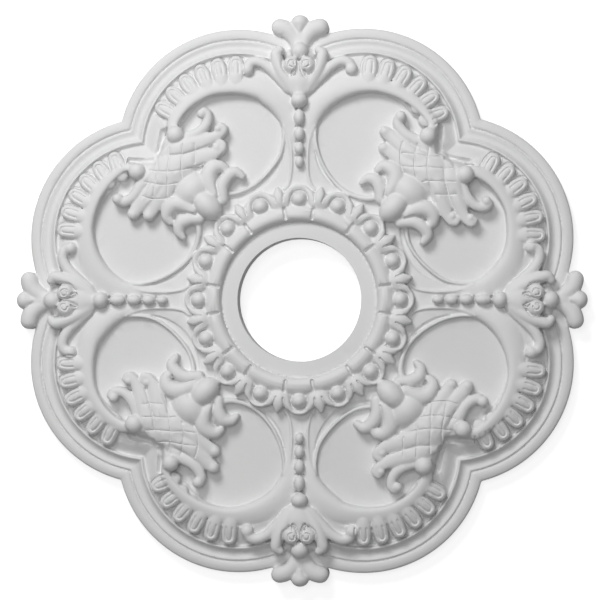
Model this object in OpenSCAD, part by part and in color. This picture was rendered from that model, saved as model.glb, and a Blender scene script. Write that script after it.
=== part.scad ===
// Ceiling rose: a round ornamental moulding that covers the point where a lamp hangs from a ceiling.
// It lies on its flat back at z = 0 with the ornament facing +Z. The origin is on the axis of the
// centre hole, in the plane of the back. One moulded piece, with four equal quarters.

/* [Outline] */
// Width over two opposite finials
overall_w = 457.2; // [380:0.2:560]
// Radius of each of the eight round lobes of the edge, at the standard width
lobe_r = 97.4; // [92:0.2:116]

/* [Thickness] */
// Height of the plain edge above the ceiling
edge_h = 9; // [6:0.5:14]
// Height of the flat fillet that runs round the rim
fillet_z = 13; // [11:0.5:18]
// Height of the ground at the foot of the rim
ground_z = 14.5; // [12:0.5:20]
// Height of the ground where it meets the centre ring
dome_z = 21; // [18:0.5:28]

/* [Rim] */
// Width of the flat fillet
fillet_w = 8.8; // [6:0.2:11]
// Width of the hollow moulding inside the fillet
cove_w = 10.4; // [7:0.2:13]
// Depth of the hollow moulding
cove_depth = 1.6; // [1:0.1:3]
// Height of the lip inside the hollow moulding
lip_z = 16.5; // [14:0.5:21]

/* [Centre ring] */
// Diameter of the hole for the lamp's fixing
bore_d = 98.4; // [80:0.2:120]
// Width of the flat band round the hole
band_w = 12.4; // [9:0.2:16]
// Height of the flat band round the hole
band_z = 24; // [22:0.5:30]
// Width of the ring of cushions outside the flat band
cushion_w = 12; // [9:0.5:15]
// Height of the cushions
cushion_z = 32; // [28:0.5:38]
// Radius of the beads outside the cushions
bead_r = 5.6; // [4:0.2:7]
// Reach of the pointed leaves outside the cushions
leaf_w = 16.5; // [12:0.5:20]

/* [Ornament] */
// Height of the carved scroll frames above the ground
frame_h = 9.5; // [7:0.5:12]
// Height of the tongues in the border above the ground
tongue_h = 5; // [3:0.5:7]
// Depth of the round sunk fields below the ground
field_depth = 2.4; // [1:0.2:4]
// Height of the diagonal cartouches
cartouche_z = 32; // [28:0.5:38]
// Height of the egg on each cartouche
egg_z = 37; // [32:0.5:44]
// Height of the finials
finial_z = 21; // [18:0.5:28]

/* [Hidden] */

STANDARD_W = 457.2;
u = overall_w / STANDARD_W;
quarters = 4;
lobes = 8;
lobe_step = 360 / lobes;
lobe_centre_r = 130 * u;
edge_r = lobe_r * u;
lobe_gap = lobe_centre_r * sin(lobe_step / 2);
lobe_steps = 8;
plate_sink = 1;
edge_inset = 0.5;

bore_r = bore_d / 2;
cushion_in = bore_r + band_w;
cushion_out = cushion_in + cushion_w;
bead_ring_r = cushion_out + bead_r * 0.9;
leaf_tip_r = cushion_out + leaf_w;
ring_ground_r = leaf_tip_r - 2;
beads = 16;
bead_step = 360 / beads;

field_r = 43.6 * u;
field_c = [55, 122.5] * u;
ground_end = fillet_w + cove_w + 0.6;
strip_z = dome_z - 3;
slope = atan2(dome_z - ground_z, lobe_centre_r + edge_r - ground_end - ring_ground_r);

plaster = [0.93, 0.93, 0.92];

// Height of the ground at distance r from the axis
function ground_at(r) =
    let (outer = lobe_centre_r + edge_r - ground_end,
         t = (outer - r) / (outer - ring_ground_r))
    ground_z + (dome_z - ground_z) * max(0, min(1, t));

// Half of the angle that one lobe of radius rho shows between its two notches
function lobe_half(rho) =
    90 + lobe_step / 2 - atan2(sqrt(rho * rho - lobe_gap * lobe_gap), lobe_gap);

// The lobed outline, drawn in by a distance, as one ring of points at height z
function lobed_ring(inset, z) =
    [for (i = [0 : lobes - 1], k = [0 : lobe_steps - 1])
        let (rho = edge_r - inset,
             mid = lobe_step * (i + 0.5),
             a = mid + lobe_half(rho) * (2 * k / lobe_steps - 1))
        [lobe_centre_r * cos(mid) + rho * cos(a), lobe_centre_r * sin(mid) + rho * sin(a), z]];

// A circle with as many points as the lobed outline, each in the same direction
function round_ring(like, r, z) =
    [for (p = like) [r * cos(atan2(p[1], p[0])), r * sin(atan2(p[1], p[0])), z]];

// Joins rings of n points into one closed solid, from the lowest ring to the highest
module skin(rings) {
    n = len(rings[0]);
    last = len(rings) - 1;
    pts = [for (ring = rings, p = ring) p];
    walls = [for (i = [0 : last - 1], k = [0 : n - 1])
        let (j = (k + 1) % n)
        each [[i * n + k, (i + 1) * n + k, i * n + j], [i * n + j, (i + 1) * n + k, (i + 1) * n + j]]];
    floor_face = [for (k = [0 : n - 1]) k];
    top_face = [for (k = [n - 1 : -1 : 0]) last * n + k];
    polyhedron(pts, concat([floor_face, top_face], walls), convexity = 10);
}

// A point of a smooth curve through the points p, at a place t from 0 to the last index
function on_curve(p, t) =
    let (last = len(p) - 1,
         i = min(floor(t), last - 1),
         f = t - i,
         a = p[max(i - 1, 0)],
         b = p[i],
         c = p[i + 1],
         d = p[min(i + 2, last)])
    0.5 * (2 * b + (c - a) * f + (2 * a - 5 * b + 4 * c - d) * f * f + (3 * b - a - 3 * c + d) * f * f * f);

// A carved ridge with an arched back that follows stations [x, y, half width, base, height]
module ridge(stations, steps, foot = 3, arch = 3) {
    last = len(stations) - 1;
    line = [for (k = [0 : steps]) on_curve(stations, last * k / steps)];
    rings = [for (k = [0 : steps])
        let (s = line[k],
             back = line[max(k - 1, 0)],
             ahead = line[min(k + 1, steps)],
             dir = atan2(ahead[1] - back[1], ahead[0] - back[0]),
             side = [-sin(dir), cos(dir)])
        concat(
            [for (j = [0 : arch])
                let (a = 180 * j / arch)
                [s[0] + side[0] * s[2] * cos(a), s[1] + side[1] * s[2] * cos(a), s[3] + s[4] * sin(a)]],
            [[s[0] - side[0] * s[2] * 0.96, s[1] - side[1] * s[2] * 0.96, s[3] - foot],
             [s[0] + side[0] * s[2] * 0.96, s[1] + side[1] * s[2] * 0.96, s[3] - foot]])];
    skin(rings);
}

// The flat back and plain edge, with true round lobes
module plate() {
    linear_extrude(edge_h) union() {
        circle(r = lobe_centre_r);
        for (i = [0 : lobes - 1])
            rotate([0, 0, lobe_step * (i + 0.5)]) translate([lobe_centre_r, 0]) circle(r = edge_r);
    }
}

// Rim fillet, quirk and hollow moulding, and the domed ground inside them
module rim_and_ground() {
    quirk = fillet_w;
    cove_end = fillet_w + cove_w;
    outer = lobed_ring(ground_end, ground_z);
    skin([
        lobed_ring(edge_inset, edge_h - plate_sink),
        lobed_ring(edge_inset, fillet_z - 1),
        lobed_ring(edge_inset + 1.2, fillet_z),
        lobed_ring(quirk - 0.4, fillet_z + 0.4),
        lobed_ring(quirk + 0.4, fillet_z - 0.8),
        lobed_ring(quirk + 1, fillet_z + 0.8),
        lobed_ring(quirk + cove_w * 0.5, fillet_z + 1.6 - cove_depth),
        lobed_ring(cove_end, lip_z),
        outer,
        round_ring(outer, ring_ground_r, dome_z),
    ]);
}

// Round sunk field of one lobe, as the block that is cut away
module field_cut() {
    turn = atan2(field_c[1], field_c[0]);
    away = norm(field_c);
    rotate([0, 0, turn])
        translate([away, 0, ground_at(away) - field_depth])
            rotate([0, slope, 0]) cylinder(r1 = field_r, r2 = field_r + 6, h = 12, $fn = 24);
}

// Border of round tongues in one lobe
module tongues() {
    count = 6;
    mid = lobe_step * 1.5;
    c = lobe_centre_r * [cos(mid), sin(mid)];
    for (i = [0 : count - 1]) {
        a = 26 + 12.2 * i;
        reach = edge_r - ground_end - 4.5 * u;
        away = [cos(a), sin(a)];
        h = tongue_h;
        ridge([
            [each (c + away * (reach - 17 * u)), 4.9 * u, ground_z, h + 1.5],
            [each (c + away * (reach - 5 * u)), 4.9 * u, ground_z, h],
            [each (c + away * (reach - 1.2 * u)), 3.6 * u, ground_z, h * 0.75],
            [each (c + away * reach), 1.6 * u, ground_z, h * 0.35],
        ], steps = 2, arch = 2);
    }
}

// Scroll frame that curls round the outer side of one field
module frame() {
    z = ground_z;
    ridge([
        [4 * u, 145 * u, 7 * u, z + 1, frame_h * 0.6],
        [20 * u, 163.5 * u, 10.5 * u, z, frame_h],
        [38 * u, 170.5 * u, 8.8 * u, z, frame_h],
        [62 * u, 170.4 * u, 6.4 * u, z, frame_h],
        [80.5 * u, 163.7 * u, 5 * u, z, frame_h],
        [95.4 * u, 153.6 * u, 4.4 * u, z, frame_h * 1.05],
        [103.5 * u, 141 * u, 4.2 * u, z + 1, frame_h * 1.05],
        [102.5 * u, 131 * u, 4 * u, z + 2, frame_h],
    ], steps = 7);
}

// Ball at the inner end of a scroll frame
module frame_ball() {
    r = 5.8 * u;
    translate([102 * u, 129 * u, ground_z + frame_h + 3 - r]) sphere(r = r);
}

// One side of the diagonal cartouche: leaves, fingers and the large hook
module cartouche_side() {
    z = dome_z - 2;
    ridge([
        [82 * u, 88 * u, 6 * u, z, 10],
        [76 * u, 101 * u, 7 * u, z, 10],
        [65 * u, 104.5 * u, 6 * u, z, 9],
        [56 * u, 97 * u, 3 * u, z, 6],
    ], steps = 4, foot = 6);
    ridge([
        [97 * u, 106 * u, 5 * u, z, 9],
        [84 * u, 112 * u, 5 * u, z, 8],
        [68.5 * u, 121.3 * u, 3.6 * u, z - 3, 7],
    ], steps = 2, foot = 6, arch = 2);
    ridge([
        [97 * u, 113 * u, 5 * u, z, 9],
        [84 * u, 122 * u, 4.6 * u, z - 1, 8],
        [69.5 * u, 134.5 * u, 3.6 * u, z - 3, 7],
    ], steps = 2, foot = 6, arch = 2);
    ridge([
        [101 * u, 121 * u, 4.5 * u, z, 7],
        [90 * u, 125.5 * u, 4 * u, z - 3, 9],
        [82 * u, 134 * u, 3.6 * u, z - 4, 9.5],
        [82.5 * u, 144 * u, 3.4 * u, z - 4, 9],
        [88.5 * u, 147 * u, 3 * u, z - 4, 7],
    ], steps = 4, foot = 6);
}

// Carved parts of the diagonal cartouche: both sides and the ridge that runs to the notch
module cartouche() {
    rotate([0, 0, 45]) {
        ridge([
            [158 * u, 0, 15 * u, ground_z, 14],
            [171 * u, 0, 9 * u, ground_z - 2, 11],
            [185 * u, 0, 3 * u, ground_z - 3, 5],
        ], steps = 2);
    }
    cartouche_side();
    mirror([1, -1, 0]) cartouche_side();
}

// Raised strip on the axis between two fields, under the string of beads
module bead_strip() {
    ridge([
        [0, 158 * u, 13 * u, strip_z - 3, 6],
        [0, 140 * u, 9 * u, strip_z - 2, 5],
        [0, 118 * u, 6.4 * u, strip_z, 3.5],
        [0, ring_ground_r - 2, 9.5 * u, strip_z + 1, 3],
    ], steps = 3);
}

// One side of the flower at the foot of a finial, with the long leaf beside it
module flower_side() {
    z = ground_z;
    ridge([
        [2 * u, 164 * u, 6 * u, z, 11],
        [9 * u, 178 * u, 8 * u, z, 11],
        [16 * u, 191 * u, 5 * u, z, 9.5],
        [17.5 * u, 198 * u, 3 * u, z - 1, 7],
    ], steps = 3, arch = 2);
    ridge([
        [12 * u, 172 * u, 4 * u, z, 8],
        [24 * u, 185 * u, 4.2 * u, z, 7.5],
        [36 * u, 190.5 * u, 4.4 * u, z, 7.5],
        [43.5 * u, 180 * u, 3.8 * u, z, 7],
    ], steps = 3, arch = 2);
}

// One pointed leaf of the centre ring
module pointed_leaf() {
    ridge([
        [cushion_out - 2, 0, 5.5, dome_z - 1, 7],
        [cushion_out + leaf_w * 0.6, 0, 5, dome_z - 1, 6],
        [leaf_tip_r, 0, 0.9, dome_z - 1, 3],
    ], steps = 2, arch = 2);
}

// All the freely carved work, as one skin
module carving() {
    difference() {
        rim_and_ground();
        for (q = [0 : quarters - 1], m = [0, 1])
            rotate([0, 0, 90 * q]) mirror([m, -m, 0]) field_cut();
    }
    for (q = [0 : quarters - 1])
        rotate([0, 0, 90 * q]) {
            for (m = [0, 1])
                mirror([m, -m, 0]) {
                    tongues();
                    frame();
                }
            cartouche();
            bead_strip();
            flower_side();
            mirror([1, 0, 0]) flower_side();
        }
    for (i = [0 : beads - 1]) rotate([0, 0, bead_step * (i + 0.5)]) pointed_leaf();
}

// Flat band round the hole
module band() {
    cylinder(r = cushion_in + 0.5, h = band_z);
}

// Ring of cushions, long and short by turns, and the beads outside them
module cushions_and_beads() {
    mid = (cushion_in + cushion_out) / 2;
    for (i = [0 : beads - 1]) {
        turn = bead_step * (i % 2 == 0 ? 0.72 : 1.1);
        rotate([0, 0, bead_step * i - turn / 2])
            rotate_extrude(angle = turn) cushion_profile(mid);
        rotate([0, 0, bead_step * i])
            translate([bead_ring_r, 0, cushion_z - 2 - bead_r]) sphere(r = bead_r);
    }
}

// Half round section of a cushion
module cushion_profile(mid) {
    w = cushion_w / 2;
    translate([mid, cushion_z - w]) circle(r = w);
    translate([mid - w, dome_z - 2]) square([cushion_w, cushion_z - w - dome_z + 2]);
}

// String of five beads on one axis
module bead_string() {
    radius = [6, 4.3, 4, 3.8, 3.5];
    place = [159, 146, 133.4, 122.2, 111.6];
    for (i = [0 : len(place) - 1])
        translate([0, place[i] * u, strip_z + 5]) sphere(r = radius[i] * u);
}

// Keeps what lies above the middle of the plate
module above_plate() {
    intersection() {
        children();
        translate([0, -50 * u, edge_h / 2]) cube([200 * u, 100 * u, egg_z]);
    }
}

// Round bodies of the diagonal cartouche: domed panel, bell and egg
module cartouche_bodies() {
    panel_r = 25 * u;
    bell_r = 18 * u;
    egg_r = 10.5 * u;
    rotate([0, 0, 45]) {
        above_plate() translate([146 * u, 0, cartouche_z - panel_r]) sphere(r = panel_r);
        above_plate() translate([122 * u, 0, cartouche_z + 1.5 - bell_r]) sphere(r = bell_r);
        for (r = [101, 105])
            translate([r * u, 0, egg_z - egg_r]) sphere(r = egg_r);
    }
}

// Finial that stands beyond the rim on the axis, as three round buds on a stem
module finial() {
    tip = overall_w / 2;
    bud_r = 8 * u;
    side_r = 8.5 * u;
    stem_w = 13 * u;
    body_h = finial_z - bud_r;
    linear_extrude(body_h) union() {
        translate([0, tip - bud_r]) circle(r = bud_r);
        translate([-stem_w / 2, 190 * u]) square([stem_w, tip - bud_r - 190 * u]);
        for (s = [-1, 1]) translate([s * 19 * u, tip - side_r - 2.5 * u]) circle(r = side_r);
        translate([-19 * u, tip - 2 * side_r - 1 * u]) square([38 * u, side_r * 1.4]);
    }
    translate([0, tip - bud_r, body_h]) sphere(r = bud_r);
    for (s = [-1, 1]) translate([s * 19 * u, tip - side_r - 2.5 * u, body_h]) sphere(r = side_r - 1);
    translate([0, 197.5 * u, finial_z - 4]) sphere(r = 7 * u);
}

// The whole rose, with its hole bored through
module ceiling_rose() {
    color(plaster) difference() {
        union() {
            plate();
            resize([0, 0, 0]) carving();
            band();
            cushions_and_beads();
            for (q = [0 : quarters - 1])
                rotate([0, 0, 90 * q]) {
                    bead_string();
                    frame_ball();
                    mirror([1, -1, 0]) frame_ball();
                    cartouche_bodies();
                    finial();
                }
        }
        translate([0, 0, -1]) cylinder(d = bore_d, h = band_z + 2);
    }
}

ceiling_rose();
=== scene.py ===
import math

import bpy
from mathutils import Matrix, Vector
from mathutils.kdtree import KDTree


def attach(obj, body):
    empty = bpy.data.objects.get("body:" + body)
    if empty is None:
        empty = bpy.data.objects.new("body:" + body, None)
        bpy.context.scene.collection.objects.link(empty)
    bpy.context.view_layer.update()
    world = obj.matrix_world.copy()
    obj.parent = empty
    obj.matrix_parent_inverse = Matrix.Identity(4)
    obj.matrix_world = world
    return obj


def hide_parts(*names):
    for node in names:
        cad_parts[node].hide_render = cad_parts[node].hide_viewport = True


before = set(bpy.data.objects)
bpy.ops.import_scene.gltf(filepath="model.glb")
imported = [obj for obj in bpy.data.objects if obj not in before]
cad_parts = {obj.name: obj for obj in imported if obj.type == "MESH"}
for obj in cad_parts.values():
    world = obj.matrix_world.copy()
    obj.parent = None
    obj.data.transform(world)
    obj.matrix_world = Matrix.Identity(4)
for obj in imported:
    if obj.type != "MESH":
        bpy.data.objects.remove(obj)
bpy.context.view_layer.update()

bl_info = {
    "name": "Ceiling Rose",
    "version": (1, 0, 0),
    "blender": (4, 5, 0),
    "location": "3D View > Sidebar > Ceiling Rose",
    "description": "Eight-lobed ceiling rose with scroll frames, cartouches and a ring of beads",
    "category": "Add Mesh",
}

MM = 0.001
NODE = "ceiling_rose"
BODY = "root"
QUARTERS = 4

# Plan, in millimetres: eight round lobes on a circle, the ground inside them and the finials
LOBES = 8
LOBE_STEP = 360 / LOBES
LOBE_CENTRE_R = 130.0
LOBE_R = 97.4
GROUND_INNER_R = 96.0
FINIAL_TIP_R = 228.6

# Levels of the casting above its flat back, in millimetres
UNDERSIDE_Z = -4.0
LIP_Z = 16.4
BORDER_FOOT_Z = 13.0
BORDER_TOP_Z = 21.2
GROUND_Z = 20.2
BAND_Z = 25.0

# How finely each curve is drawn before the casting is remeshed
LOBE_SEGMENTS = 40
FIELD_SEGMENTS = 72
RING_SEGMENTS = 192
SHELL_SEGMENTS = 48
BORE_SEGMENTS = 160
SECTION_STEPS = 12
LINE_STEPS = 24
# Stations of the rounded end of a ridge, as angles round its quarter circle
CAP_ANGLES = (0.4, 0.8, 1.15, 1.4)


# ---------------------------------------------------------------- settings

class RoseCastSettings(bpy.types.PropertyGroup):
    """Sizes that decide how finely the casting is carved."""
    voxel: bpy.props.FloatProperty(
        name="Carving Step", description="Finest step of the carved surface",
        default=0.7 * MM, min=0.4 * MM, max=3 * MM, unit="LENGTH", precision=5)
    soften: bpy.props.IntProperty(
        name="Softening", description="Passes of smoothing that round the cast edges",
        default=2, min=0, max=20)
    max_faces: bpy.props.IntProperty(
        name="Triangle Limit", description="Most triangles in the finished casting",
        default=195000, min=20000, max=199000)
    bore_r: bpy.props.FloatProperty(
        name="Hole Radius", description="Radius of the centre hole",
        default=49.2 * MM, min=40 * MM, max=60 * MM, unit="LENGTH", precision=5)


class RoseFinishSettings(bpy.types.PropertyGroup):
    """Colours and roughness of the primed surface."""
    primer: bpy.props.FloatVectorProperty(
        name="Primer", description="Colour of the primed moulding",
        subtype="COLOR", size=3, default=(0.72, 0.72, 0.715), min=0, max=1)
    shade: bpy.props.FloatVectorProperty(
        name="Primer Shade", description="Colour of the slightly greyer patches of primer",
        subtype="COLOR", size=3, default=(0.68, 0.68, 0.685), min=0, max=1)
    roughness: bpy.props.FloatProperty(
        name="Roughness", description="Roughness of the primer",
        subtype="FACTOR", default=0.62, min=0, max=1)


class RoseStageSettings(bpy.types.PropertyGroup):
    """Camera, lights and floor."""
    distance: bpy.props.FloatProperty(
        name="Camera Distance", description="Distance from the camera to the rose",
        default=1.75, min=0.5, max=5, unit="LENGTH")
    key_power: bpy.props.FloatProperty(
        name="Key Light", description="Power of the large light beyond the upper edge",
        default=11.0, min=0, max=500)
    overhead_power: bpy.props.FloatProperty(
        name="Overhead Light", description="Power of the large light over the rose",
        default=12.5, min=0, max=500)
    ambient: bpy.props.FloatProperty(
        name="Ambient", description="Strength of the light from all round",
        default=0.15, min=0, max=2)


# ------------------------------------------------------------ small helpers

def deselect_all():
    """Leaves nothing selected and no object in edit mode."""
    if bpy.context.object and bpy.context.object.mode != "OBJECT":
        bpy.ops.object.mode_set(mode="OBJECT")
    bpy.ops.object.select_all(action="DESELECT")


def select_only(items):
    """Selects these objects and makes the first one active."""
    deselect_all()
    for item in items:
        item.select_set(True)
    bpy.context.view_layer.objects.active = items[0]


def join(items, name):
    """Joins objects into one and returns it."""
    select_only(items)
    if len(items) > 1:
        bpy.ops.object.join()
    bpy.context.object.name = name
    return bpy.context.object


def apply_modifier(obj, kind, **settings):
    """Adds a modifier with these settings and applies it."""
    select_only([obj])
    modifier = obj.modifiers.new(kind.title(), kind)
    for key, value in settings.items():
        setattr(modifier, key, value)
    bpy.ops.object.modifier_apply(modifier=modifier.name)
    if not obj.data.polygons:
        raise RuntimeError(f"{kind.lower()} left nothing of {obj.name}")


def cut(obj, tool):
    """Cuts a closed tool out of an object and removes the tool."""
    apply_modifier(obj, "BOOLEAN", operation="DIFFERENCE", object=tool, solver="MANIFOLD")
    bpy.data.objects.remove(tool)


def along(stations, steps):
    """Points of a smooth curve through the stations, whatever number of values each has."""
    points = []
    last = len(stations) - 1
    for k in range(last * steps + 1):
        i = min(k // steps, last - 1)
        f = k / steps - i
        a, b = stations[max(i - 1, 0)], stations[i]
        c, d = stations[i + 1], stations[min(i + 2, last)]
        points.append([
            0.5 * (2 * q + (r - p) * f + (2 * p - 5 * q + 4 * r - s) * f * f
                   + (3 * q - p - 3 * r + s) * f ** 3)
            for p, q, r, s in zip(a, b, c, d)])
    return points


def swapped(stations):
    """The same stations mirrored in the diagonal of the quarter."""
    return [(s[1], s[0], *s[2:]) for s in stations]


def on_side(stations, side):
    """Stations of the right half (side 1), or mirrored in the axis for the left half (side -1)."""
    return [(side * s[0], s[1], *s[2:]) for s in stations]


# -------------------------------------------------------- carving primitives

def scroll(name, stations, steps=6, arch=1.0, lean=0.0):
    """A ridge through stations (x, y, height of its back, half width), with rounded ends.

    arch is the rise of its back as a share of the half width; lean moves the crown to the left.
    """
    line = [(Vector((x, y)), top, half) for x, y, top, half in along(stations, steps)]
    for end, inner in ((0, 1), (-1, -2)):
        (tip, top, half), before = line[end], line[inner][0]
        out = (tip - before).normalized()
        caps = [(tip + out * half * math.sin(t), top - half * arch * (1 - math.cos(t)),
                 half * math.cos(t)) for t in CAP_ANGLES]
        line = caps[::-1] + line if end == 0 else line + caps
    rings = []
    for k, (at, top, half) in enumerate(line):
        way = (line[min(k + 1, len(line) - 1)][0] - line[max(k - 1, 0)][0]).normalized()
        left = Vector((-way.y, way.x))
        ring = []
        for i in range(SECTION_STEPS + 1):
            t = math.pi * i / SECTION_STEPS
            s = math.cos(t)
            place = at + left * half * (s + lean * (1 - s * s))
            ring.append((*place, top - half * arch * (1 - math.sin(t))))
        ring += [(*(at - left * half), UNDERSIDE_Z), (*(at + left * half), UNDERSIDE_Z)]
        rings.append(ring)
    return loft(name, rings)


def boss(name, x, y, top, size, turn=0.0):
    """A rounded boss of half lengths (across, along, up), by its crown's height, turned in plan."""
    deselect_all()
    bpy.ops.mesh.primitive_uv_sphere_add(segments=28, ring_count=14, radius=MM, location=(0, 0, 0))
    obj = bpy.context.object
    obj.name = name
    obj.data.transform(
        Matrix.Translation(Vector((x, y, top - size[2])) * MM)
        @ Matrix.Rotation(math.radians(turn), 4, "Z")
        @ Matrix.Diagonal((*size, 1)))
    return obj


def loft(name, rings):
    """A closed solid through rings of points, from the lowest ring to the highest."""
    n = len(rings[0])
    verts = [Vector(p) * MM for ring in rings for p in ring]
    faces = [(i * n + k, i * n + (k + 1) % n, (i + 1) * n + (k + 1) % n, (i + 1) * n + k)
             for i in range(len(rings) - 1) for k in range(n)]
    faces.append(tuple(range(n - 1, -1, -1)))
    faces.append(tuple((len(rings) - 1) * n + k for k in range(n)))
    mesh = bpy.data.meshes.new(name)
    mesh.from_pydata(verts, [], faces)
    obj = bpy.data.objects.new(name, mesh)
    bpy.context.collection.objects.link(obj)
    return obj


def turned(obj, degrees):
    """A copy of an object with its own mesh, turned about the axis of the rose."""
    copy = obj.copy()
    copy.data = obj.data.copy()
    copy.data.transform(Matrix.Rotation(math.radians(degrees), 4, "Z"))
    bpy.context.collection.objects.link(copy)
    return copy


def repeat_quarters(items, name):
    """Joins the items of one quarter and repeats them four times round the axis."""
    quarter = join(items, name)
    return join([quarter] + [turned(quarter, 90 * q) for q in range(1, QUARTERS)], name)


# --------------------------------------------------------------- rim outline

def lobed_ring(inset, z):
    """The lobed outline drawn in by a distance, at a height."""
    rho = LOBE_R - inset
    gap = LOBE_CENTRE_R * math.sin(math.radians(LOBE_STEP / 2))
    half = 90 + LOBE_STEP / 2 - math.degrees(math.atan2(math.sqrt(rho * rho - gap * gap), gap))
    ring = []
    for i in range(LOBES):
        mid = LOBE_STEP * (i + 0.5)
        cx = LOBE_CENTRE_R * math.cos(math.radians(mid))
        cy = LOBE_CENTRE_R * math.sin(math.radians(mid))
        for k in range(LOBE_SEGMENTS):
            a = math.radians(mid + half * (2 * k / LOBE_SEGMENTS - 1))
            ring.append((cx + rho * math.cos(a), cy + rho * math.sin(a), z))
    return ring


def round_ring(cx, cy, r, height, n):
    """A circle of n points whose height is a function of x and y."""
    ring = []
    for k in range(n):
        a = 2 * math.pi * k / n
        x, y = cx + r * math.cos(a), cy + r * math.sin(a)
        ring.append((x, y, height(x, y)))
    return ring


def level(z):
    """The height of a flat ring, as a function of x and y."""
    return lambda x, y: z


# Section of the rim: distance in from the edge, and height
RIM_SECTION = [
    (0.7, UNDERSIDE_Z), (0.7, 0.0), (0.0, 0.7), (0.0, 11.2), (0.5, 12.2), (1.5, 12.9), (4.5, 13.6),
    (7.2, 13.4), (7.8, 13.1), (8.9, 10.6), (9.9, 13.2), (10.6, 13.5), (12.4, 12.4),
    (14.6, 12.2), (16.6, 13.1), (18.4, 15.0), (19.2, LIP_Z), (20.4, LIP_Z), (21.2, 12.6),
    (22.6, BORDER_FOOT_Z), (29.0, 17.6), (36.0, BORDER_TOP_Z), (37.2, BORDER_TOP_Z), (37.6, 17.2),
    (45.0, 18.6),
]

# The round sunk fields: centre of one of them, and radius
FIELD_AT = (54.5, 122.8)
FIELD_R = 42.6
# Smaller hollows inside the curled ends of the frames: centre and radius
CURL_HOLLOWS = [(87.5, 133.5, 12.5), (133.5, 86, 12.0)]
# Floor of a field at its outer and inner side: distance from the axis, and height
FIELD_OUTER = (175.0, 16.0)
FIELD_INNER = (92.0, 18.6)
# How far the middle of the floor is dished
FIELD_DISH = 0.7


def field_floor(x, y):
    """Height of a field's floor, which rises towards the centre of the rose."""
    (outer_r, outer_z), (inner_r, inner_z) = FIELD_OUTER, FIELD_INNER
    t = (outer_r - math.hypot(x, y)) / (outer_r - inner_r)
    return outer_z + (inner_z - outer_z) * t


def field_cutter(cx, cy, radius):
    """The block that is cut away for one sunk field, with a gently dished floor."""
    rings = []
    for share, dish in ((0.02, 1.0), (0.35, 0.9), (0.7, 0.5), (0.93, 0.1), (1.0, 0.0)):
        rings.append(round_ring(cx, cy, radius * share,
                                lambda x, y, d=dish: field_floor(x, y) - FIELD_DISH * d,
                                FIELD_SEGMENTS))
    rings.append(round_ring(cx, cy, radius + 1.0, lambda x, y: field_floor(x, y) + 4,
                            FIELD_SEGMENTS))
    rings.append(round_ring(cx, cy, radius + 1.0, level(40), FIELD_SEGMENTS))
    return loft("field_cutter", rings)


# --------------------------------------------------------------- operators

class ROSE_OT_rim(bpy.types.Operator):
    """Model the lobed rim, the sloping border and the ground with its sunk fields"""
    bl_idname = "rose.rim"
    bl_label = "Rim and Ground"

    def execute(self, context):
        rings = [lobed_ring(inset, z) for inset, z in RIM_SECTION]
        outline = rings[-1]
        rings.append([(x * GROUND_INNER_R / math.hypot(x, y), y * GROUND_INNER_R / math.hypot(x, y),
                       GROUND_Z) for x, y, _ in outline])
        rim = loft("rim", rings)
        quarter = [(*FIELD_AT, FIELD_R), (*FIELD_AT[::-1], FIELD_R)] + CURL_HOLLOWS
        for place in quarter:
            for q in range(QUARTERS):
                cutter = field_cutter(*place)
                cutter.data.transform(Matrix.Rotation(math.radians(90 * q), 4, "Z"))
                cut(rim, cutter)
        return {"FINISHED"}


# Scroll frames: x, y, height, half width
FRAME_UPPER = [
    (4.6, 116, 20.3, 7.8), (4.6, 125, 21, 8.0), (4.8, 133, 22.2, 8.3), (6, 142, 23.2, 9.2),
    (10, 152, 24.2, 11), (16, 160.2, 25, 11.8), (25, 166, 25.4, 10.8), (37, 170.2, 25.6, 9.0),
    (50, 171.8, 25.8, 7.2), (63, 170.8, 26, 6.0), (79, 165.2, 26.4, 5.1), (91, 157.6, 26.8, 4.6),
    (100.4, 148.6, 27.4, 4.2), (106, 140.6, 28, 4.0), (106.4, 133.6, 28.4, 4.0),
]
FRAME_RIGHT = [
    (116, 4.6, 20.3, 7.8), (125, 4.6, 21, 8.0), (133, 4.8, 22.2, 8.3), (142, 6, 23.2, 9.2),
    (152, 10, 24.2, 11), (160, 16, 25, 11.8), (165.4, 24, 25.4, 10.8), (169.4, 33, 25.6, 9.0),
    (171.2, 49.5, 25.8, 6.9), (168.8, 69.4, 26.1, 5.7), (161.6, 83.8, 26.6, 4.9),
    (152.4, 94.2, 27, 4.7), (142, 100.6, 27.6, 4.5), (135, 101, 28, 4.3),
]
# Balls at the curled ends of the frames: x, y, height, radius
FRAME_BALLS = [(102.4, 129.5, 34, 6.8), (131.4, 98.6, 34.4, 7.2)]

# Thin ridges that close the fields towards the centre
CLOSING_UPPER = [
    (59.5, 92.5, 27, 2.6), (64.5, 88.5, 27.2, 2.6), (63, 82.5, 26.6, 2.5), (55, 80.2, 25.4, 2.2),
    (43, 82.8, 23.8, 1.8), (32, 89.6, 22.6, 1.5), (22.4, 101, 22, 1.3), (16, 113.7, 21.8, 1.2),
    (12.9, 126, 21.8, 1.2), (12.8, 133, 21.8, 1.0), (13.4, 138, 21, 0.8),
]
CLOSING_RIGHT = [
    (84.6, 60, 23.2, 1.8), (85, 52, 22.8, 1.6), (87.6, 43.5, 22.4, 1.4), (93, 34.5, 22, 1.3),
    (102.5, 24.4, 21.8, 1.2), (114.5, 16, 21.6, 1.2), (126, 12.9, 21.8, 1.2),
    (133, 12.8, 21.8, 1.0), (138, 13.4, 21, 0.8),
]
# Thin ridges beside the strings of beads
STRIP_EDGE = [
    (12.6, 139, 22.8, 1.0), (9.4, 132.6, 22.4, 1.0), (7.0, 123, 22.2, 1.0), (6.3, 107, 22, 1.0),
    (8.2, 94, 22, 1.0), (12, 88, 22, 1.0),
]


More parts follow.
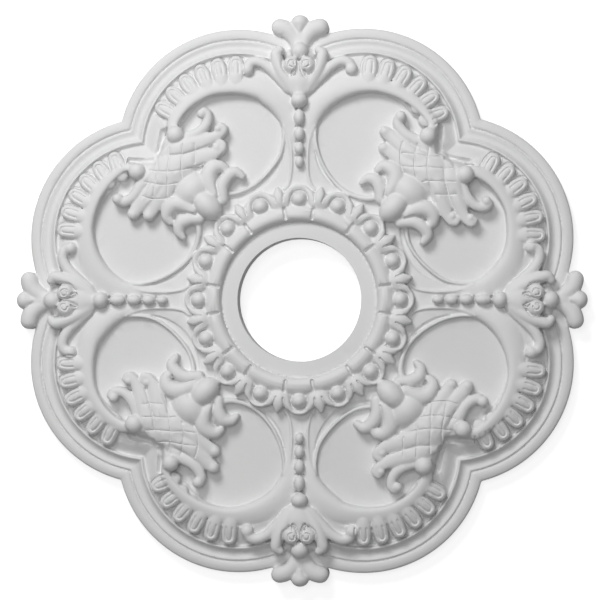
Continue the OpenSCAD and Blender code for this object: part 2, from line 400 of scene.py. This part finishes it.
class ROSE_OT_frames(bpy.types.Operator):
    """Model the scroll frames round the fields and the thin ridges that close them"""
    bl_idname = "rose.frames"
    bl_label = "Scroll Frames"

    def execute(self, context):
        items = [
            scroll("frame", FRAME_UPPER, arch=0.75, lean=-0.35),
            scroll("frame", FRAME_RIGHT, arch=0.75, lean=0.35),
            scroll("closing", CLOSING_UPPER), scroll("closing", CLOSING_RIGHT),
            scroll("strip_edge", STRIP_EDGE), scroll("strip_edge", swapped(STRIP_EDGE)),
        ]
        for x, y, top, r in FRAME_BALLS:
            items.append(boss("frame_ball", x, y, top, (r, r, r)))
        repeat_quarters(items, "frames")
        return {"FINISHED"}


# Border tongues: direction of each from the centre of its lobe, in degrees, and along a tongue
# the distance from the centre of the lobe, height and half width
TONGUES_UPPER = [24 + 12.1 * i for i in range(6)]
TONGUES_RIGHT = [61 - 12.0 * i for i in range(6)]
TONGUE_STATIONS = [(54.6, 25.7, 5.2), (60.0, 25.3, 5.7), (65.0, 24.1, 6.0), (69.4, 22.3, 5.8)]


def tongue_places():
    """Centre of the lobe and direction of every tongue in one quarter."""
    for mid, angles in ((67.5, TONGUES_UPPER), (22.5, TONGUES_RIGHT)):
        cx = LOBE_CENTRE_R * math.cos(math.radians(mid))
        cy = LOBE_CENTRE_R * math.sin(math.radians(mid))
        for a in angles:
            yield cx, cy, math.radians(a)


class ROSE_OT_tongues(bpy.types.Operator):
    """Model the border of round tongues"""
    bl_idname = "rose.tongues"
    bl_label = "Border Tongues"

    def execute(self, context):
        items = []
        for cx, cy, a in tongue_places():
            stations = [(cx + r * math.cos(a), cy + r * math.sin(a), top, half)
                        for r, top, half in TONGUE_STATIONS]
            items.append(scroll("tongue", stations, steps=3, arch=0.5))
        repeat_quarters(items, "tongues")
        return {"FINISHED"}


# Scrolls of the diagonal cartouche, on its upper and right sides: x, y, height, half width
HOOK_UPPER = [
    (103, 116, 28.5, 4.6), (97, 122.5, 28.8, 4.7), (91, 127, 29, 4.6), (85.2, 130.4, 28.8, 4.4),
    (80.4, 135.6, 28.2, 4.2), (78.4, 141, 27.8, 4.1), (80.8, 145.4, 27.8, 4.1),
]
HOOK_RIGHT = [
    (124, 102, 28.5, 4.2), (127.6, 94.5, 28.8, 4.1), (130.4, 87.4, 29, 4.1), (133.4, 80.8, 29, 4.1),
    (137.8, 75.6, 28.4, 4.0), (143.2, 73, 28, 3.8), (148, 73.2, 27.8, 3.6), (150.4, 76, 27.8, 3.4),
]
FINGERS_UPPER = [
    [(101, 101, 30, 5), (97.4, 110, 31.8, 6.6), (88.5, 115.5, 31, 6.0), (80.5, 122.6, 29.4, 5.4),
     (74, 128.6, 28, 5.1), (69, 132.8, 27.2, 4.8)],
    [(98, 95, 30, 5), (95, 102, 32, 6.6), (87.5, 106, 31, 6.0), (79.6, 112, 29.4, 5.4),
     (73, 116.8, 28, 5.1), (68, 120, 27.2, 4.8)],
]
FINGERS_RIGHT = [
    [(116, 108, 28.5, 4.6), (119, 98, 31.6, 6.2), (122, 90, 31.4, 6.2), (124.2, 82.4, 30.4, 6.5),
     (127, 74.6, 29.2, 5.9), (130, 67.8, 28.2, 4.2), (132.8, 62.6, 27.8, 3.5),
     (136.4, 60.2, 27.6, 3.0), (138.8, 62.8, 27.6, 2.8)],
    [(106, 106, 31, 5), (108.6, 96, 32.4, 6.6), (110.6, 87.6, 31.8, 6.4), (112.6, 79.6, 30.4, 6.5),
     (115, 72, 29.2, 6.0), (117.4, 66.4, 28.2, 4.2), (120.6, 62, 27.8, 3.4),
     (124, 61.2, 27.6, 2.9), (125.4, 64, 27.6, 2.7)],
]
LEAVES_UPPER = [
    [(71.5, 86, 31.6, 4.6), (76, 92.4, 32.2, 6.2), (76.6, 99.4, 32, 6.6), (72.2, 104.2, 31, 5.7),
     (66.6, 105.6, 29.4, 4.6), (62.6, 103, 28, 3.2)],
    [(64.6, 80, 29.6, 4.4), (64.4, 88, 30.2, 5.0), (61, 94.6, 29.8, 5.2), (54.6, 96, 28.4, 4.2),
     (50, 92.8, 27, 2.4)],
]
LEAVES_RIGHT = [
    [(85, 67.4, 31.6, 4.6), (92.6, 71.6, 32.2, 6.2), (100, 72, 32, 6.6), (105.4, 67.6, 31, 5.7),
     (105.8, 61.8, 29.4, 4.6), (102.4, 58.6, 28, 3.2)],
    [(80, 61, 29.6, 4.4), (90, 61.6, 30.2, 5.0), (97.8, 57.8, 29.8, 5.2), (101.6, 51.4, 28.4, 4.4),
     (98.4, 45.6, 27, 2.8)],
]
# Rounded masses that the scrolls lie on: name, x, y, height, half lengths, turn
CARTOUCHE_BOSSES = [
    ("panel", 102.5, 101.5, 33, (21.5, 28, 19), 45),
    ("skirt", 121.5, 103, 26.5, (12, 11.5, 13)),
    ("skirt", 104, 121, 26.5, (12, 11.5, 13)),
    ("skirt", 94, 122, 25, (9, 6.5, 13)),
    ("skirt", 126, 92, 25, (8, 9, 13)),
    ("skirt", 104, 79, 25.5, (9, 8, 13)),
    ("skirt", 119.5, 68, 25, (7, 6, 10)),
    ("leaf_bed", 69, 93, 27, (9.5, 11, 14)),
    ("leaf_bed", 93, 65.5, 27, (11, 9, 14)),
    ("bell", 87.2, 85.8, 34.6, (15, 18, 16), 45),
    ("egg", 75, 73, 37, (13.6, 9.6, 11), 45),
]
# Balls that the hooks and fingers curl into: x, y, height, radius
CURL_ENDS = [
    (80.6, 145.2, 29.4, 4.5), (148.3, 77.8, 29.4, 4.0), (68.4, 133.2, 28.2, 4.6),
    (67.4, 120.4, 28.2, 4.6), (136.2, 64.6, 28.8, 3.3), (121.4, 65.8, 28.8, 3.3),
]


class ROSE_OT_cartouches(bpy.types.Operator):
    """Model the diagonal cartouches: domed panel, bell, egg, leaves, fingers and hooks"""
    bl_idname = "rose.cartouches"
    bl_label = "Diagonal Cartouches"

    def execute(self, context):
        items = [boss(*place) for place in CARTOUCHE_BOSSES]
        for stations in [HOOK_UPPER, HOOK_RIGHT] + LEAVES_UPPER + LEAVES_RIGHT:
            items.append(scroll("cartouche_scroll", stations, arch=0.85))
        for stations in FINGERS_UPPER + FINGERS_RIGHT:
            items.append(scroll("finger", stations, arch=0.5))
        for x, y, top, r in CURL_ENDS:
            items.append(boss("curl_end", x, y, top, (r, r, r)))
        repeat_quarters(items, "cartouches")
        return {"FINISHED"}


# Beads on the axis: distance from the centre, half width, half length, height
AXIS_BEADS = [
    (158.8, 6.6, 6.0, 33), (145.4, 4.3, 6.4, 30), (132.2, 4.1, 5.6, 29.2),
    (120.6, 3.9, 5.1, 28.6), (109.8, 3.5, 4.6, 28),
]


class ROSE_OT_bead_strings(bpy.types.Operator):
    """Model the strings of beads on the axes"""
    bl_idname = "rose.bead_strings"
    bl_label = "Bead Strings"

    def execute(self, context):
        items = [boss("axis_bead", 0, r, top, (half, length, half + 1))
                 for r, half, length, top in AXIS_BEADS]
        repeat_quarters(items, "bead_strings")
        return {"FINISHED"}


# Finial and flower on the axis: x, y, height, half width
BUD_POINT = [(0, 221, 21.4, 5.8), (0, 217.8, 21, 3.8), (0, 215.2, 20.6, 1.6)]
NECK = [(0, 196, 21, 7.0), (0, 205, 20.2, 7.0), (0, 212, 19.6, 9.0)]
FLOWER_BODY = [
    (0, 166.5, 28.6, 5.5), (0, 170.5, 29.4, 8.6), (0, 174.4, 29.8, 11.4), (0, 177.6, 29.6, 12.8),
]
# The same for what both halves have, given for the right half
OUTER_PETAL = [
    (5, 168, 28, 5.5), (10.5, 176, 29, 5.8), (15, 184, 29.4, 5.4), (17.6, 191, 29, 4.8),
    (18.4, 196, 28.4, 4.4), (15.6, 199, 27, 3.4),
]
LONG_LEAF = [
    (9, 168.5, 26.6, 4.0), (17, 177.6, 26.8, 4.0), (25, 185.8, 26.4, 4.0), (33, 190, 26, 4.0),
    (39, 189, 26, 4.1), (41.6, 184.6, 26, 4.2),
]
FINIAL_LOBE = [
    (2, 206, 19.6, 6), (6, 212.4, 20.2, 6.4), (11, 217, 20.8, 6.8), (16.2, 218.6, 20.8, 6.8),
]


class ROSE_OT_finials(bpy.types.Operator):
    """Model the finials beyond the rim and the flowers at their feet"""
    bl_idname = "rose.finials"
    bl_label = "Finials and Flowers"

    def execute(self, context):
        items = [
            boss("bud", 0, FINIAL_TIP_R - 6.6, 22, (7.2, 6.4, 8)),
            scroll("bud_point", BUD_POINT),
            scroll("neck", NECK, arch=0.6),
            boss("neck_ball", 0, 198.4, 28.6, (7.2, 7.0, 8)),
            boss("flower_back", 0, 195, 23, (18, 9, 20)),
            scroll("flower_body", FLOWER_BODY, arch=0.45),
        ]
        for side in (1, -1):
            items.append(scroll("outer_petal", on_side(OUTER_PETAL, side)))
            items.append(scroll("long_leaf", on_side(LONG_LEAF, side), arch=0.9))
            items.append(scroll("finial_lobe", on_side(FINIAL_LOBE, side), arch=0.9))
        for side in (-1, 1):
            items.append(boss("inner_petal", 6.1 * side, 187, 31.6, (6.4, 6.6, 5)))
            items.append(boss("leaf_end", 41.6 * side, 183.6, 27.6, (5.0, 5.2, 5)))
        repeat_quarters(items, "finials")
        return {"FINISHED"}


# Centre ring: beads in the whole ring, and their distance from the axis and radius
RING_UNITS = 16
RING_STEP = 360 / RING_UNITS
RING_BEAD = (80.0, 6.2)
# Where the cushions are parted, in degrees past one bead and past the next
CUSHION_SPAN = (9.2, 13.3)
# Section of the ring from its outer edge to the flat band: radius and height
RING_SECTION = [
    (86, 10.0), (86, 22.0), (85, 23.4), (75.6, 24.6), (74.8, 27.2), (73.2, 29.4), (70.6, 31.2),
    (67.6, 31.8), (65.2, 31.2), (63.2, 29.2), (62.3, 26.2), (62.0, 23.2), (61.2, 23.2),
    (60.8, BAND_Z),
]
# Shell behind a bead: radius from the bead's centre, and height
SHELL_SECTION = [
    (11.4, 10), (11.4, 26.2), (10.9, 27.4), (10.1, 27.8), (9.3, 27.2), (8.9, 26.0), (8.5, 26.8),
    (7.9, 27.2), (7.3, 26.8), (6.8, 25.4), (0.5, 25.4),
]
# Pointed leaf between two shells: radius, height, half width
POINTED_LEAF = [
    (74.5, 30, 5.0), (78.5, 31.6, 5.6), (83, 31.6, 4.8), (87, 30.2, 3.2), (89.8, 28.6, 1.4),
]
# Side leaf beside it: radius, distance to the side, height, half width
LEAF_SIDE = [
    (77, 3.4, 30, 3.4), (81.6, 5.8, 30, 3.1), (85, 8.2, 29.2, 2.3), (86.6, 10.4, 28.2, 1.2),
]


def ring_point(r, degrees, offset=0.0):
    """A point of the ring at a radius and direction, moved sideways by an offset."""
    a = math.radians(degrees)
    return (r * math.cos(a) - offset * math.sin(a), r * math.sin(a) + offset * math.cos(a))


class ROSE_OT_centre_ring(bpy.types.Operator):
    """Model the ring round the hole: flat band, cushions, beads, shells and pointed leaves"""
    bl_idname = "rose.centre_ring"
    bl_label = "Centre Ring"

    def execute(self, context):
        ground = loft("ring_ground", [round_ring(0, 0, r, level(z), RING_SEGMENTS)
                                      for r, z in RING_SECTION])
        bead_at, bead_r = RING_BEAD
        items = []
        for i in range(RING_UNITS // QUARTERS):
            start = RING_STEP * i
            x, y = ring_point(bead_at, start)
            items.append(boss("ring_bead", x, y, 33, (bead_r, bead_r, 8), start))
            items.append(loft("shell", [round_ring(x, y, r, level(z), SHELL_SEGMENTS)
                                        for r, z in SHELL_SECTION]))
            mid = start + RING_STEP / 2
            items.append(scroll("pointed_leaf", [(*ring_point(r, mid), top, half)
                                                 for r, top, half in POINTED_LEAF], arch=0.7))
            for side in (-1, 1):
                items.append(scroll("leaf_side", [(*ring_point(r, mid, t * side), top, half)
                                                  for r, t, top, half in LEAF_SIDE], arch=0.7))
        ring = repeat_quarters(items, "centre_ring")
        join([ring, ground], "centre_ring")
        return {"FINISHED"}


# ------------------------------------------------------------- carved lines

# Crossing lines on the domed panel of the cartouche
LATTICE = [
    [(115.2, 103), (115.9, 92.4), (119, 82), (123, 71.4)],
    [(103.3, 120.3), (101.9, 109), (102.2, 98), (105.4, 84), (108.4, 76)],
    [(94.2, 123.6), (92, 113.7), (91.4, 104.4), (92.8, 97)],
    [(82.6, 125), (80.4, 118), (80.6, 107), (82.6, 99)],
    [(114.6, 113.7), (104.6, 112.7), (92.6, 114.7), (82.2, 116)],
    [(121.2, 103.7), (111.2, 103.5), (100.6, 104.4), (91.3, 104.4), (81, 105.6)],
    [(123.9, 92.8), (113.9, 93), (103.3, 93.4), (98, 92.8)],
    [(124.5, 82.8), (116.6, 82.4), (108.4, 82.8)],
]
# Valleys between the mitred border and the panel
MITRE_VALLEYS = [
    [(111.4, 137), (110.6, 126), (111, 115.6)], [(111, 115.6), (121, 111.6), (134.4, 109)],
]
# Veins of the large leaves
VEINS = [
    [(67.6, 82), (69.4, 90), (68.6, 97), (64.4, 100.2)],
    [(84, 64.2), (92, 66), (98.4, 64.2), (101, 60.2)],
]
# The two lines round a tongue: half width, distance of its tip from the centre of the lobe, depth
TONGUE_LINES = [(6.7, 76.2, 1.6), (2.5, 71.6, 1.1)]
TONGUE_FOOT_R = 61
# Distance from the axis of the rose of the gaps between the beads of a string
BEAD_GAPS = (152.3, 138.4, 126.2, 115.0)
# Lines in the right half of the flower under a finial: points, half width, depth
FLOWER_LINES = [
    ([(1.4, 183.6), (2.6, 180), (4.6, 177.4), (5.6, 180), (4.4, 182)], 1.1, 2.6),
    ([(1.2, 190.6), (1.0, 186.6), (1.6, 183.4)], 1.2, 2.2),
    ([(5.6, 184.4), (8.4, 186), (7.2, 189.6), (3.9, 189.4), (3.4, 186.6)], 0.9, 1.4),
    ([(7.6, 179.2), (12.2, 183), (13.4, 188), (13.2, 194.4)], 1.3, 2.6),
]
# Lines in the centre ring: where a cushion is parted, the fold of a leaf, the rim round a bead
CUSHION_PART = (65.2, 68, 73)
LEAF_FOLD = [(79, 2.8), (82.6, 3.6), (85.6, 4.8)]
BEAD_RIM_R = 7.1
BEAD_RIM_ANGLES = (-1.9, -1.3, -0.65, 0, 0.65, 1.3, 1.9)
# Height in metres below which nothing is carved
CARVE_ABOVE = 0.012
# How far a quarter reaches over its own edges
QUARTER_OVERLAP = 0.5


def cartouche_lines():
    """Grooves of the cartouche and of the mitred border beside it."""
    return ([(path, 0.8, 0.9) for path in LATTICE]
            + [(path, 3.6, 5.0) for path in MITRE_VALLEYS]
            + [(path, 1.3, 1.8) for path in VEINS])


def tongue_lines():
    """An outer and an inner groove round each tongue, both open towards the frame."""
    lines = []
    for cx, cy, a in tongue_places():
        c, s = math.cos(a), math.sin(a)
        for width, end, depth in TONGUE_LINES:
            outline = ((TONGUE_FOOT_R, -width), (end - width - 2, -width),
                       (end - width * 0.3, -width * 0.7), (end, 0),
                       (end - width * 0.3, width * 0.7), (end - width - 2, width),
                       (TONGUE_FOOT_R, width))
            path = [(cx + r * c - t * s, cy + r * s + t * c) for r, t in outline]
            lines.append((path, 1.1, depth))
    return lines


def axis_lines():
    """Grooves between the beads and in the flower, on both axes of the quarter."""
    lines = [([(0, r), (1.5, r), (3, r)], 0.9, 1.6) for r in BEAD_GAPS] + FLOWER_LINES
    return lines + [(swapped(path), half, depth) for path, half, depth in lines]


def ring_lines():
    """Grooves of the centre ring, with one unit beyond each end of the quarter."""
    lines = []
    for i in range(-1, RING_UNITS // QUARTERS + 1):
        edge = RING_STEP * i + CUSHION_SPAN[i % 2]
        lines.append(([ring_point(r, edge) for r in CUSHION_PART], 1.8, 3.2))
        mid = RING_STEP * (i + 0.5)
        for side in (-1, 1):
            lines.append(([ring_point(r, mid, side * out) for r, out in LEAF_FOLD], 1.0, 1.8))
        lines.append(([ring_point(RING_BEAD[0] + BEAD_RIM_R * math.cos(b), RING_STEP * i,
                                  BEAD_RIM_R * math.sin(b)) for b in BEAD_RIM_ANGLES], 1.0, 1.4))
    return lines


def carved_lines():
    """Every fine groove of one quarter as (points, half width, depth), in millimetres."""
    return cartouche_lines() + tongue_lines() + axis_lines() + ring_lines()


def carve_lines(obj, lines):
    """Presses fine grooves into the top of the casting, in all four quarters."""
    samples = []
    for index, (path, _, _) in enumerate(lines):
        samples += [(Vector((x, y, 0)), index) for x, y in along(path, LINE_STEPS)]
    tree = KDTree(len(samples))
    for i, (at, _) in enumerate(samples):
        tree.insert(at, i)
    tree.balance()
    reach = max(half for _, half, _ in lines)
    for vertex in obj.data.vertices:
        if vertex.co.z < CARVE_ABOVE:
            continue
        x, y = vertex.co.x / MM, vertex.co.y / MM
        for _ in range(QUARTERS):
            if x >= -QUARTER_OVERLAP and y >= -QUARTER_OVERLAP:
                _, i, distance = tree.find(Vector((x, y, 0)))
                if distance < reach:
                    _, half, depth = lines[samples[i][1]]
                    if distance < half:
                        vertex.co.z -= MM * depth * (1 - (distance / half) ** 2) ** 1.5
                        break
            x, y = y, -x


# ----------------------------------------------------------------- material

class Value:
    """A shader socket that adds Math nodes when it is used in arithmetic."""

    def __init__(self, shader, socket):
        self.shader, self.socket = shader, socket

    def _math(self, operation, a, b):
        return self.shader.node("ShaderNodeMath", {"operation": operation}, {0: a, 1: b})

    def __add__(self, other):
        return self._math("ADD", self, other)

    def __sub__(self, other):
        return self._math("SUBTRACT", self, other)

    def __rsub__(self, other):
        return self._math("SUBTRACT", other, self)

    def __mul__(self, other):
        return self._math("MULTIPLY", self, other)

    __radd__, __rmul__ = __add__, __mul__


class Shader:
    """A material whose nodes are added one call at a time."""

    def __init__(self, name):
        self.material = bpy.data.materials.new(name)
        self.material.use_nodes = True
        self.tree = self.material.node_tree
        self.tree.nodes.clear()

    def node(self, kind, settings=None, inputs=None, output=0):
        made = self.tree.nodes.new(kind)
        for key, value in (settings or {}).items():
            setattr(made, key, value)
        for key, value in (inputs or {}).items():
            if isinstance(value, Value):
                self.tree.links.new(value.socket, made.inputs[key])
            else:
                made.inputs[key].default_value = value
        return Value(self, made.outputs[output]) if made.outputs else made


def primer_material(settings):
    """Matt primer: faint clouding of colour, fine orange peel and a dusty roughness."""
    shader = Shader("primer")
    place = shader.node("ShaderNodeTexCoord", output=3)

    def noise(scale, detail):
        return shader.node("ShaderNodeTexNoise",
                           inputs={"Vector": place, "Scale": scale, "Detail": detail})

    cloud, grain, peel = noise(14.0, 4.0), noise(900.0, 3.0), noise(190.0, 2.0)
    colour = shader.node(
        "ShaderNodeMix", {"data_type": "RGBA"},
        {0: cloud, 6: (*settings.primer, 1), 7: (*settings.shade, 1)}, output=2)
    roughness = (grain - 0.5) * 0.12 + settings.roughness
    relief = grain * 0.35 + peel
    bump = shader.node("ShaderNodeBump",
                       inputs={"Strength": 0.16, "Distance": 0.0006, "Height": relief})
    surface = shader.node("ShaderNodeBsdfPrincipled", inputs={
        "Base Color": colour, "Roughness": roughness, "Normal": bump})
    shader.node("ShaderNodeOutputMaterial", inputs={"Surface": surface})
    return shader.material


def floor_material():
    """A pale floor that stays white to the camera and still shows the shadow."""
    shader = Shader("pale_floor")
    seen = shader.node("ShaderNodeLightPath", output=0)
    matt = shader.node("ShaderNodeBsdfDiffuse", inputs={"Color": (0.55, 0.55, 0.55, 1)})
    glow = shader.node("ShaderNodeEmission",
                       inputs={"Color": (1, 1, 1, 1), "Strength": seen * 0.72})
    both = shader.node("ShaderNodeAddShader", inputs={0: matt, 1: glow})
    shader.node("ShaderNodeOutputMaterial", inputs={"Surface": both})
    return shader.material


# ------------------------------------------------------------------ casting

PARTS = ("rim", "frames", "tongues", "cartouches", "bead_strings", "finials", "centre_ring")


class ROSE_OT_cast(bpy.types.Operator):
    """Join the carved parts into one casting, soften it, cut its back flat and bore its hole"""
    bl_idname = "rose.cast"
    bl_label = "Cast in One Piece"

    def execute(self, context):
        settings = context.scene.rose_cast
        rose = join([bpy.data.objects[name] for name in PARTS], "rose")
        apply_modifier(rose, "REMESH", mode="VOXEL", voxel_size=settings.voxel)
        apply_modifier(rose, "SMOOTH", factor=0.5, iterations=settings.soften)
        carve_lines(rose, carved_lines())
        self.cut_back(rose)
        self.bore(rose, settings.bore_r)
        faces = sum(len(p.vertices) - 2 for p in rose.data.polygons)
        apply_modifier(rose, "DECIMATE", decimate_type="COLLAPSE",
                       ratio=min(1.0, settings.max_faces / faces), use_collapse_triangulate=True)
        rose.data.validate()
        self.clear_strays(rose)
        bpy.ops.object.shade_smooth_by_angle(angle=math.radians(42))
        rose.data.materials.clear()
        rose.data.materials.append(primer_material(context.scene.rose_finish))
        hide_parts(NODE)
        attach(rose, BODY)
        return {"FINISHED"}

    def cut_back(self, rose):
        """Cuts the casting off flat at the ceiling."""
        select_only([rose])
        bpy.ops.object.mode_set(mode="EDIT")
        bpy.ops.mesh.select_all(action="SELECT")
        bpy.ops.mesh.bisect(plane_co=(0, 0, 0), plane_no=(0, 0, 1),
                            use_fill=True, clear_inner=True)
        bpy.ops.object.mode_set(mode="OBJECT")

    def bore(self, rose, radius):
        """Bores the centre hole."""
        deselect_all()
        bpy.ops.mesh.primitive_cylinder_add(vertices=BORE_SEGMENTS, radius=radius, depth=0.2)
        cut(rose, bpy.context.object)

    def clear_strays(self, rose):
        """Removes the lone triangles that the reduction leaves where it closes a tiny hollow."""
        select_only([rose])
        bpy.ops.object.mode_set(mode="EDIT")
        bpy.ops.mesh.select_mode(type="EDGE")
        bpy.ops.mesh.select_all(action="DESELECT")
        bpy.ops.mesh.select_non_manifold(
            extend=False, use_wire=True, use_boundary=True, use_multi_face=True,
            use_non_contiguous=False, use_verts=False)
        bpy.ops.mesh.delete(type="FACE")
        bpy.ops.object.mode_set(mode="OBJECT")


# -------------------------------------------------------------------- stage

# What the camera looks at, how far to the side and below it stands, and half the width it sees
VIEW_TARGET = (0, 0, 0.014)
VIEW_SIDE = math.radians(3.6)
VIEW_DOWN = math.radians(1.3)
HALF_VIEW = 0.2396
SENSOR = 36
# Lights: place and size, in metres
KEY_LIGHT = ((-0.38, 0.85, 1.0), 0.45)
OVERHEAD_LIGHT = ((-0.15, 0.2, 2.1), 0.9)


class ROSE_OT_stage(bpy.types.Operator):
    """Set up the pale floor, the soft lights and the camera"""
    bl_idname = "rose.stage"
    bl_label = "Studio Stage"

    def execute(self, context):
        settings = context.scene.rose_stage
        deselect_all()
        bpy.ops.mesh.primitive_plane_add(size=12, location=(0, 0, 0))
        floor = bpy.context.object
        floor.name = "floor"
        floor.data.materials.append(floor_material())

        target = Vector(VIEW_TARGET)
        away = Vector((math.sin(VIEW_SIDE), -math.sin(VIEW_DOWN), 1)).normalized()
        camera = bpy.data.cameras.new("camera")
        camera.sensor_width = SENSOR
        camera.lens = SENSOR / 2 * settings.distance / HALF_VIEW
        eye = bpy.data.objects.new("camera", camera)
        eye.location = target + away * settings.distance
        across = Vector((0, 1, 0)).cross(away).normalized()
        eye.rotation_euler = Matrix((across, away.cross(across), away)).transposed().to_euler()
        context.collection.objects.link(eye)
        context.scene.camera = eye

        def area(name, at, size, power):
            lamp = bpy.data.lights.new(name, "AREA")
            lamp.size = size
            lamp.energy = power
            obj = bpy.data.objects.new(name, lamp)
            obj.location = at
            obj.rotation_euler = (target - Vector(at)).to_track_quat("-Z", "Y").to_euler()
            context.collection.objects.link(obj)

        area("key", *KEY_LIGHT, settings.key_power)
        area("overhead", *OVERHEAD_LIGHT, settings.overhead_power)
        world = bpy.data.worlds.new("studio")
        world.use_nodes = True
        sky = world.node_tree.nodes["Background"]
        sky.inputs["Color"].default_value = (1, 1, 1, 1)
        sky.inputs["Strength"].default_value = settings.ambient
        context.scene.world = world
        context.scene.view_settings.view_transform = "Standard"
        return {"FINISHED"}


class ROSE_PT_panel(bpy.types.Panel):
    """The rose's settings and steps in the sidebar."""
    bl_label = "Ceiling Rose"
    bl_space_type = "VIEW_3D"
    bl_region_type = "UI"
    bl_category = "Ceiling Rose"

    def draw(self, context):
        layout = self.layout
        for group in (context.scene.rose_cast, context.scene.rose_finish, context.scene.rose_stage):
            box = layout.box()
            for name in group.__annotations__:
                box.prop(group, name)
        for step in STEPS:
            layout.operator(step.bl_idname)


GROUPS = {"rose_cast": RoseCastSettings, "rose_finish": RoseFinishSettings,
          "rose_stage": RoseStageSettings}
STEPS = (ROSE_OT_rim, ROSE_OT_frames, ROSE_OT_tongues, ROSE_OT_cartouches, ROSE_OT_bead_strings,
         ROSE_OT_finials, ROSE_OT_centre_ring, ROSE_OT_cast, ROSE_OT_stage)
CLASSES = (*GROUPS.values(), *STEPS, ROSE_PT_panel)


def register():
    for cls in CLASSES:
        bpy.utils.register_class(cls)
    for name, group in GROUPS.items():
        setattr(bpy.types.Scene, name, bpy.props.PointerProperty(type=group))


def unregister():
    for name in GROUPS:
        delattr(bpy.types.Scene, name)
    for cls in reversed(CLASSES):
        bpy.utils.unregister_class(cls)


def main():
    register()
    for step in STEPS:
        space, name = step.bl_idname.split(".")
        getattr(getattr(bpy.ops, space), name)()


if __name__ == "__main__":
    main()
